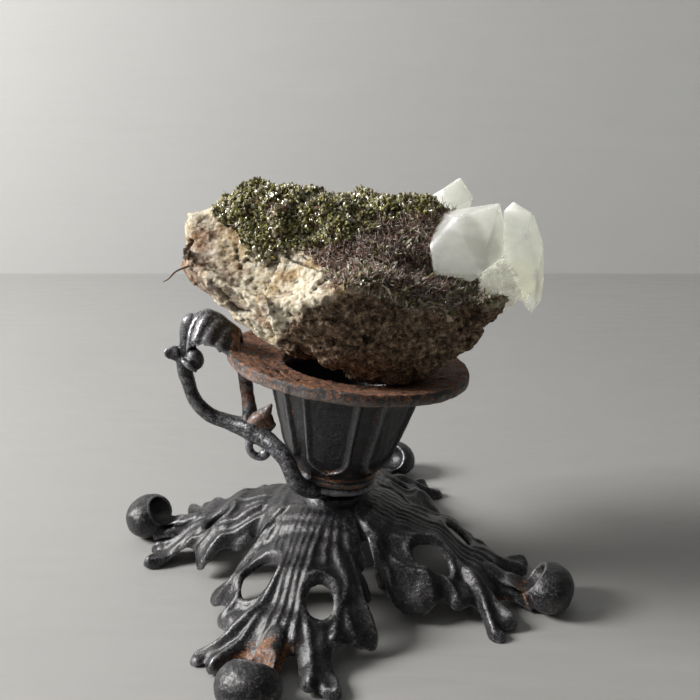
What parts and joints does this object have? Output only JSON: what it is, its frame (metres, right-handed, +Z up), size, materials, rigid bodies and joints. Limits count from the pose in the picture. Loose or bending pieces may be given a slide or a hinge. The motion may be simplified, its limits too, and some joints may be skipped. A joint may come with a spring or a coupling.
{
  "type": "quartz cluster on cast iron chamberstick",
  "caption": "Rough quartz and druse specimen resting in the cup of a footed cast iron chamberstick with a vine handle and pierced leaf feet.",
  "frame": {"origin": "centre of the footprint, on the surface the stand rests on; the hub axis passes through it", "axes": "+Z up, +X away from the handle, +Y to the back; the usual view looks along +Y"},
  "size_m": [0.127, 0.127, 0.1094],
  "materials": {
    "black_iron": "worn black paint on bumpy sand casting, silver on the high edges, rust in the hollows",
    "rusted_iron": "matt orange-brown rust over black paint",
    "plain_steel": "dull, lightly rusted",
    "matrix_rock": "granular, cream to dark brown",
    "green_druse": "small glinting olive green blades",
    "brown_fibre": "matt, felted with fine fibres",
    "milky_quartz": "milky translucent, smooth faces, white edges"
  },
  "bodies": {
    "chamberstick": {"base_hub": "black_iron", "leaf_left": "black_iron", "leaf_front": "black_iron", "leaf_right": "black_iron", "leaf_back": "black_iron", "candle_cup": "black_iron", "drip_pan": "rusted_iron", "clamp_screw": "plain_steel", "washer": "plain_steel", "square_nut": "plain_steel", "handle_vine": "black_iron", "inner_stem": "rusted_iron", "thumb_leaf": "black_iron", "thorn_leaf": "rusted_iron", "curled_tendril": "black_iron"},
    "specimen": {"rock_matrix": "matrix_rock", "green_druse": "green_druse", "fibre_mat": "brown_fibre", "quartz_main": "milky_quartz", "quartz_right": "milky_quartz", "quartz_back": "milky_quartz", "quartz_root": "milky_quartz", "quartz_small_right": "milky_quartz", "quartz_small_front": "milky_quartz"}
  },
  "joints": [
    {"name": "specimen_lift", "type": "slide", "parent": "chamberstick", "child": "specimen", "axis": [0, 0, 1], "range_m": [0, 0.08]}
  ]
}
